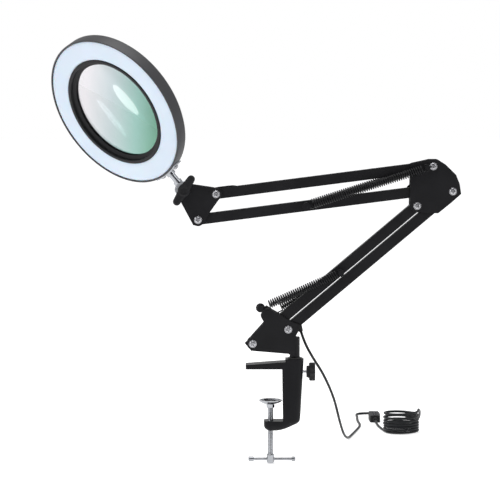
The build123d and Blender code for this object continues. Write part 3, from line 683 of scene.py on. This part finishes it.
def pan_head(radius, height, washer):
    """A pan head with a cross recess on a plain washer, its seat at Z = 0."""
    head_r = radius * PAN_IN_WASHER
    dome = [(head_r * across, washer + height * up) for across, up in PAN]
    head = lathe([(0, washer)] + dome + [(0, washer + height)], segments=48)
    for blade in cross_recess(RECESS_SPAN * head_r, RECESS_DEPTH * height, washer + height + RECESS_ABOVE):
        head = cut(head, blade)
    bore = head_r * WASHER_BORE
    ring = lathe(rounded([(bore, 0), (radius, 0), (radius, washer), (bore, washer)], WASHER_EDGE),
                 segments=48, closed=True)
    return joined([head, ring])


NUT_EDGE, NUT_PLAY, BOLT_CHAMFER, BOLT_POINT = 0.3 * MM, 1.02, 0.4 * MM, 0.75


def hexagon_nut(radius, height, bolt_r, bolt_end):
    """A nut with the chamfered end of its screw, seat at Z = 0."""
    body = slab([circle(radius, 6), circle(bolt_r * NUT_PLAY, 32)], 0, height, NUT_EDGE)
    end = lathe([(0, 0), (bolt_r, 0), (bolt_r, bolt_end - BOLT_CHAMFER), (bolt_r * BOLT_POINT, bolt_end),
                 (0, bolt_end)], segments=32)
    return joined([body, end])


PLATE_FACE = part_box("base_plate_back")[1][1]
HEAD_R, HEAD_HEIGHT, WASHER = 4.3 * MM, 2.0 * MM, 0.55 * MM
NUT_R, NUT_HEIGHT, BOLT_R, BOLT_END = 4.1 * MM, 3.1 * MM, 2.0 * MM, 4.0 * MM
HIDDEN_SHORT, HIDDEN_TURN = 2.0 * MM, (1, 0, 0.4)
screw_head = pan_head(HEAD_R, HEAD_HEIGHT, WASHER)
nut = hexagon_nut(NUT_R, NUT_HEIGHT, BOLT_R, BOLT_END)
# Each set: its body, the screws that run from the front to a nut at the back, and those put in from behind.
fastener_sets = {
    "base": ("base_bracket", [base_left, base_right], []),
    "elbow": ("elbow", [elbow_top, elbow_right, elbow_left], [elbow_back]),
    "head": ("head_bracket", [head_top, head_low], []),
}
for name, (body, centres, behind) in fastener_sets.items():
    meshes = []
    for centre in centres:
        tilt = random.uniform(0, math.pi / 2)
        turned = Vector((math.cos(tilt), 0, math.sin(tilt)))
        for shape, seat, direction in ((screw_head, -PLATE_FACE, -1), (nut, PLATE_FACE, 1)):
            copy = shape.copy()
            copy.transform(frame_at(centre + Vector((0, seat, 0)), (0, direction, 0), turned))
            meshes.append(copy)
        meshes.append(pin(BOLT_R, -PLATE_FACE, PLATE_FACE, frame_at(centre, (0, 1, 0), (1, 0, 0))))
    for centre in behind:
        copy = screw_head.copy()
        copy.transform(frame_at(centre + Vector((0, PLATE_FACE, 0)), (0, 1, 0), HIDDEN_TURN))
        meshes.append(copy)
        shank_start = -PLATE_FACE + HIDDEN_SHORT
        meshes.append(pin(BOLT_R, shank_start, PLATE_FACE, frame_at(centre, (0, 1, 0), (1, 0, 0))))
    finished(name + "_screws", joined(meshes), "bright_steel", body, [name + "_fasteners"], smooth=35)


# ---- clamp screw with its thread ----
RIDGE_SLOPE = 1.25


def threaded_rod(low, high, radius, pitch, depth, segments=28, rows=8):
    """A rod along Z with a helical ridge."""
    made = bmesh.new()
    count = round((high - low) / pitch * rows)
    rings = []
    for row in range(count + 1):
        z = low + (high - low) * row / count
        ring = []
        for s in range(segments):
            phase = ((z - low) / pitch - s / segments) % 1.0
            ridge = 1 - abs(2 * phase - 1)
            r = radius - depth * (1 - min(1.0, RIDGE_SLOPE * ridge))
            a = 2 * math.pi * s / segments
            ring.append(made.verts.new((r * math.cos(a), r * math.sin(a), z)))
        rings.append(ring)
    for below, above in zip(rings, rings[1:]):
        for s in range(segments):
            t = (s + 1) % segments
            made.faces.new([below[s], below[t], above[t], above[s]])
    made.faces.new(list(reversed(rings[0])))
    made.faces.new(rings[-1])
    mesh = bpy.data.meshes.new("thread")
    made.to_mesh(mesh)
    made.free()
    return mesh


THREAD_R, THREAD_PITCH, THREAD_DEPTH = 3.12 * MM, 1.5 * MM, 0.42 * MM
UNDER_PAD, TIP_START, TIP_R = 0.3 * MM, 0.5 * MM, 2.5 * MM
HUB_TOP, HUB_R, HUB_EDGE, BAR_HOLE_R, BAR_HOLE_REACH = 9.8 * MM, 4.2 * MM, 0.5 * MM, 1.6 * MM, 10.0 * MM
screw_low, screw_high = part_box("clamp_screw")
pad_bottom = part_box("swivel_pad")[0][2]
hub_bottom, hub_top = screw_low[2], screw_low[2] + HUB_TOP
thread = threaded_rod(hub_top, pad_bottom - UNDER_PAD, THREAD_R, THREAD_PITCH, THREAD_DEPTH)
tip = pin(TIP_R, pad_bottom - TIP_START, screw_high[2])
hub_section = [(0, hub_bottom), (HUB_R * 0.8, hub_bottom), (HUB_R, hub_bottom + 0.9 * MM),
               (HUB_R, hub_top - 0.4 * MM), (HUB_R * 0.74, hub_top + 0.5 * MM), (0, hub_top + 0.5 * MM)]
hub = lathe(rounded(hub_section, HUB_EDGE), segments=48)
bar_place = frame_at((0, 0, middle("tommy_bar").z), (1, 0, 0), UP)
hub = cut(hub, pin(BAR_HOLE_R, -BAR_HOLE_REACH, BAR_HOLE_REACH, bar_place))
finished("clamp_screw_threaded", joined([thread, tip, hub]), "chrome", "screw", ["clamp_screw"])


# ---- knobs ----
def hull(discs, count=40):
    """The outline round several discs, as (x, y, radius)."""
    points = []
    for x, y, radius in discs:
        points += circle(radius, count, (x, y))
    points = sorted(set(points))

    def chain(ordered):
        kept = []
        for p in ordered:
            while len(kept) > 1:
                (ax, ay), (bx, by) = kept[-2], kept[-1]
                if (bx - ax) * (p[1] - ay) - (by - ay) * (p[0] - ax) > 0:
                    break
                kept.pop()
            kept.append(p)
        return kept[:-1]

    return chain(points) + chain(list(reversed(points)))


# The wing knob: two lobes on a hub.
wing_low, wing_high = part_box("wing_knob")
WING_ANGLE, WING_REACH, WING_LOBE = math.radians(57.5), 14.6 * MM, 4.2 * MM
WING_WAIST, WING_HUB, WING_BORE = 5.9 * MM, 6.8 * MM, 3.05 * MM
WING_EDGE, WING_HUB_EDGE, WING_UNDER, WING_OVER = 2.1 * MM, 0.7 * MM, 1.0 * MM, 0.9 * MM
tip_x, tip_y = WING_REACH * math.cos(WING_ANGLE), WING_REACH * math.sin(WING_ANGLE)
wing_place = frame_at(Vector((wrist.x, 0, wrist.z)), (0, -1, 0), (1, 0, 0))
wing_front, wing_back = -wing_low[1], -wing_high[1]
wing_outline = hull([(tip_x, tip_y, WING_LOBE), (-tip_x, -tip_y, WING_LOBE), (0, 0, WING_WAIST)])
wing_hub = [(WING_BORE, wing_back), (WING_HUB - 0.6 * MM, wing_back), (WING_HUB, wing_front - 1.2 * MM),
            (WING_HUB - 1.4 * MM, wing_front), (WING_BORE, wing_front - 0.4 * MM)]
wing = joined([
    slab([wing_outline], wing_back + WING_UNDER, wing_front - WING_OVER, WING_EDGE, wing_place),
    lathe(rounded(wing_hub, WING_HUB_EDGE), wing_place, 64, closed=True)])
finished("wing_knob_moulded", wing, "black_plastic", "wing", ["wing_knob"], smooth=50)

# The lock knob: a lobed rim on a hub.
lock_low, lock_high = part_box("lock_knob")
lock_middle = middle("lock_knob")
lock_place = frame_at((0, lock_middle.y, lock_middle.z), (1, 0, 0), (0, 1, 0))
LOCK_RIM, LOBES, LOBE_DEPTH, LOCK_STEPS = 9.75 * MM, 6, 0.95 * MM, 120
LOCK_HUB_R, LOCK_HUB, LOCK_BORE, LOCK_EDGE, LOCK_HUB_EDGE = 6.2 * MM, 2.9 * MM, 1.8 * MM, 1.3 * MM, 0.5 * MM
lobed = []
for k in range(LOCK_STEPS):
    a = 2 * math.pi * k / LOCK_STEPS
    radius = LOCK_RIM + LOBE_DEPTH * math.cos(LOBES * a)
    lobed.append((radius * math.cos(a), radius * math.sin(a)))
hub_low, hub_high = lock_low[0], lock_low[0] + 3.4 * MM
lock_hub = [(LOCK_BORE, hub_low), (LOCK_HUB_R, hub_low), (LOCK_HUB_R + 0.8 * MM, hub_high),
            (LOCK_BORE, hub_high)]
lock = joined([
    slab([lobed], lock_low[0] + LOCK_HUB, lock_high[0], LOCK_EDGE, lock_place),
    lathe(rounded(lock_hub, LOCK_HUB_EDGE), lock_place, 48, closed=True)])
finished("lock_knob_moulded", lock, "black_plastic", "lock", ["lock_knob"], smooth=50)

# ---- lamp head ----
head_place = frame_at(head_centre, facing, to_neck)
RIM, BACK, OUTER, OPENING = 8.25 * MM, -8.25 * MM, 88.0 * MM, 56.2 * MM
WALL_IN, TROUGH, SEAT = OUTER - 1.8 * MM, BACK + 2 * MM, -2.0 * MM
WELL_OUT, WELL_IN, WELL_TOP = 63.1 * MM, 61.5 * MM, 5.2 * MM
BEZEL_IN, BEZEL_OUT, BEZEL_FOOT, BEZEL_STEP = 60.0 * MM, 63.9 * MM, 61.3 * MM, 5.4 * MM
DIFFUSER_IN, DIFFUSER_OUT, DIFFUSER_BACK = 64.0 * MM, OUTER - 2.0 * MM, 6.0 * MM
DIFFUSER_EDGE, DIFFUSER_FACE, DIFFUSER_SLOPE = 7.3 * MM, 7.9 * MM, 3.0 * MM


def head_ring(name, section, edge, slot, node, smooth):
    """A ring of the head, turned round the head's axis from its section."""
    ring = lathe(rounded(section, edge, steps=3), head_place, 160, closed=True)
    finished(name, ring, slot, "head", [node], smooth)


housing_section = [(OUTER, RIM), (WALL_IN, RIM), (WALL_IN, TROUGH), (WELL_OUT, TROUGH), (WELL_OUT, WELL_TOP),
                   (WELL_IN, WELL_TOP), (WELL_IN, SEAT), (OPENING, SEAT), (OPENING, SEAT - 1.4 * MM),
                   (60.6 * MM, BACK), (OUTER - 3.2 * MM, BACK), (OUTER, BACK + 3.2 * MM)]
head_ring("housing", housing_section, 0.5 * MM, "head_plastic", "head_housing", smooth=50)
diffuser_section = [(DIFFUSER_IN, DIFFUSER_BACK), (DIFFUSER_OUT, DIFFUSER_BACK),
                    (DIFFUSER_OUT, DIFFUSER_EDGE), (DIFFUSER_OUT - DIFFUSER_SLOPE, DIFFUSER_FACE),
                    (DIFFUSER_IN + DIFFUSER_SLOPE, DIFFUSER_FACE), (DIFFUSER_IN, DIFFUSER_EDGE)]
head_ring("diffuser_domed", diffuser_section, 0.6 * MM, "diffuser_white", "diffuser", smooth=60)
bezel_section = [(BEZEL_IN, RIM), (BEZEL_OUT, RIM), (BEZEL_OUT, BEZEL_STEP), (BEZEL_FOOT, BEZEL_STEP),
                 (BEZEL_FOOT, 2.0 * MM), (OPENING, 2.0 * MM), (OPENING, 2.9 * MM), (BEZEL_IN, 4.4 * MM)]
head_ring("bezel", bezel_section, 0.5 * MM, "black_plastic", "lens_bezel", smooth=50)

LENS_R, LENS_EDGE, LENS_BULGE = 61.2 * MM, 1.3 * MM, 3.3 * MM
lens_curve = (LENS_R**2 + LENS_BULGE**2) / (2 * LENS_BULGE)


def lens_side(sign, steps=16):
    """One curved face of the lens, from its middle to its edge."""
    side = []
    for k in range(steps + 1):
        r = LENS_R * k / steps
        side.append((r, sign * (LENS_EDGE + LENS_BULGE - lens_curve + math.sqrt(lens_curve**2 - r * r))))
    return side


lens_profile = lens_side(1) + list(reversed(lens_side(-1)))
finished("lens_polished", lathe(lens_profile, head_place, 128), "lens_glass", "head", ["lens"])

STRAP_SPREAD, STRAP_FACE = math.radians(9.0), OUTER + 1.6 * MM
STRAP_HEAD_R, STRAP_HEAD, STRAP_WASHER = 3.4 * MM, 1.7 * MM, 0.3 * MM
STRAP_SHANK_R, STRAP_SHANK = 1.5 * MM, 4.0 * MM
strap_heads = []
for turn in (-STRAP_SPREAD, STRAP_SPREAD):
    outwards = Matrix.Rotation(turn, 3, facing) @ to_neck
    strap_place = frame_at(head_centre + outwards * STRAP_FACE, outwards, facing)
    head = pan_head(STRAP_HEAD_R, STRAP_HEAD, STRAP_WASHER)
    head.transform(strap_place)
    strap_heads += [head, pin(STRAP_SHANK_R, -STRAP_SHANK, STRAP_WASHER, strap_place, 24)]
finished("strap_screws_recessed", joined(strap_heads), "bright_steel", "head", ["strap_screws"], smooth=35)

# The lead to the head comes out of the upper bar and runs along its top for a short way. Its points are
# millimetres along the bar from its last pivot, and above it.
LEAD_R = 0.8 * MM
LEAD_ROUTE = ((-24, 4.6), (-22, 5.6), (-19, 6.3), (-12, 6.5), (-4, 6.5), (2, 6.2), (5, 5.0), (6.2, 3.0))
along_bar = (head_top - elbow_top).normalized()
above_bar = along_bar.cross(FRONT).normalized()
lead_path = [head_top + along_bar * along * MM + above_bar * above * MM for along, above in LEAD_ROUTE]
finished("head_lead", tube(lead_path, LEAD_R), "cord_pvc", "upper_top", smooth=0)

# ---- floor ----
FLOOR_SIDE, FLOOR_DROP, FLOOR_GLOW = 30.0, 0.2 * MM, 0.52
# Where the floor's painted shade starts and ends, and how dark it gets.
SHADE_FROM, SHADE_TO, SHADE_DEPTH = -0.55, -1.1, 0.65


def paper_with_painted_shade(name):
    """Pale paper, with painted shade well in front of the lamp, where the chrome and the black paint mirror it."""
    material, nodes, links, shader = new_material(name)
    paper = ramp(nodes, links, noise(nodes, links, scale=9), (0.91, 0.91, 0.91), (0.93, 0.93, 0.93))
    coordinates = nodes.new("ShaderNodeTexCoord")
    split = nodes.new("ShaderNodeSeparateXYZ")
    links.new(coordinates.outputs["Object"], split.inputs["Vector"])
    # Painted shade: the paper and its glow darken towards the front, as a dark sheet for the chrome and the black
    # paint to mirror.
    shade = nodes.new("ShaderNodeMapRange")
    shade.inputs["From Min"].default_value = SHADE_TO
    shade.inputs["From Max"].default_value = SHADE_FROM
    shade.inputs["To Min"].default_value = SHADE_DEPTH
    links.new(split.outputs["Y"], shade.inputs["Value"])
    shaded = nodes.new("ShaderNodeVectorMath")
    shaded.operation = "SCALE"
    links.new(paper, shaded.inputs[0])
    links.new(shade.outputs["Result"], shaded.inputs["Scale"])
    links.new(shaded.outputs["Vector"], shader.inputs["Base Color"])
    links.new(shaded.outputs["Vector"], shader.inputs["Emission Color"])
    shader.inputs["Roughness"].default_value = 0.9
    shader.inputs["Specular IOR Level"].default_value = 0.1
    shader.inputs["Emission Strength"].default_value = FLOOR_GLOW
    return material


half = FLOOR_SIDE / 2
floor_mesh = bpy.data.meshes.new("floor")
floor_mesh.from_pydata([(-half, -half, 0), (half, -half, 0), (half, half, 0), (-half, half, 0)], [],
                       [(0, 1, 2, 3)])
floor_mesh.materials.append(paper_with_painted_shade("floor_white"))
floor = bpy.data.objects.new("floor", floor_mesh)
floor.location = (0, 0, FLOOR - FLOOR_DROP)
bpy.context.scene.collection.objects.link(floor)

# ---- light ----
# How bright the studio is from its front (0) to its back (1); the front is dark for the lamp to reflect.
STUDIO = ((0.0, (0.06, 0.06, 0.07)), (0.16, (0.16, 0.16, 0.17)), (0.34, (0.85, 0.85, 0.86)),
          (0.6, (0.9, 0.9, 0.9)), (0.78, (0.5, 0.5, 0.51)), (0.94, (0.6, 0.6, 0.61)), (0.98, (1.0, 1.0, 1.0)))


def light_studio():
    """The light from all round, as a ramp from the front to the back."""
    world = bpy.data.worlds.new("studio")
    bpy.context.scene.world = world
    world.use_nodes = True
    nodes = world.node_tree.nodes
    links = world.node_tree.links
    direction = nodes.new("ShaderNodeTexCoord")
    split = nodes.new("ShaderNodeSeparateXYZ")
    links.new(direction.outputs["Generated"], split.inputs["Vector"])
    shade = stops(nodes, STUDIO)
    depth = nodes.new("ShaderNodeMapRange")
    depth.inputs["From Min"].default_value = -1.0
    depth.inputs["From Max"].default_value = 1.0
    links.new(split.outputs["Y"], depth.inputs["Value"])
    links.new(depth.outputs["Result"], shade.inputs["Fac"])
    links.new(shade.outputs["Color"], nodes["Background"].inputs["Color"])
    nodes["Background"].inputs["Strength"].default_value = 1.0


def softbox(name, place, size, power, aim=(0, 0, 0.1), shape="RECTANGLE", roll=0.0):
    """A soft light with an area, which the camera doesn't see."""
    light = bpy.data.lights.new(name, "AREA")
    light.shape = shape
    light.size, light.size_y = size
    light.energy = power
    lamp = bpy.data.objects.new(name, light)
    lamp.location = place
    turn = (Vector(aim) - Vector(place)).to_track_quat("-Z", "Y") @ Quaternion((0, 0, 1), roll)
    lamp.rotation_euler = turn.to_euler()
    lamp.visible_camera = False
    bpy.context.scene.collection.objects.link(lamp)


light_studio()
softbox("overhead", place=(-0.2, -0.2, 1.9), size=(1.6, 1.2), power=18)
softbox("left_key", place=(-1.5, -1.2, 0.9), size=(0.7, 1.2), power=10)
softbox("right_strip", place=(1.4, -1.3, 0.7), size=(0.25, 1.4), power=6)

# The lens carries one leaf-shaped highlight: a light stands where the lens mirrors it to the camera.
GLINT_RIGHT, GLINT_UP, GLINT_DISTANCE = 22.0 * MM, 14.0 * MM, 0.5
GLINT_SIZE, GLINT_POWER, GLINT_ROLL = (0.10, 0.035), 0.03, math.radians(90.0)
lens_right = UP.cross(facing).normalized()
lens_up = facing.cross(lens_right)
glint = head_centre + lens_right * GLINT_RIGHT + lens_up * GLINT_UP
glint_normal = (facing * lens_curve + lens_right * GLINT_RIGHT + lens_up * GLINT_UP).normalized()
glint_ray = (glint - CAMERA_AT).normalized()
mirrored = glint_ray - 2 * glint_ray.dot(glint_normal) * glint_normal
softbox("lens_glint", glint + mirrored * GLINT_DISTANCE, GLINT_SIZE, GLINT_POWER, aim=glint, shape="ELLIPSE",
        roll=GLINT_ROLL)
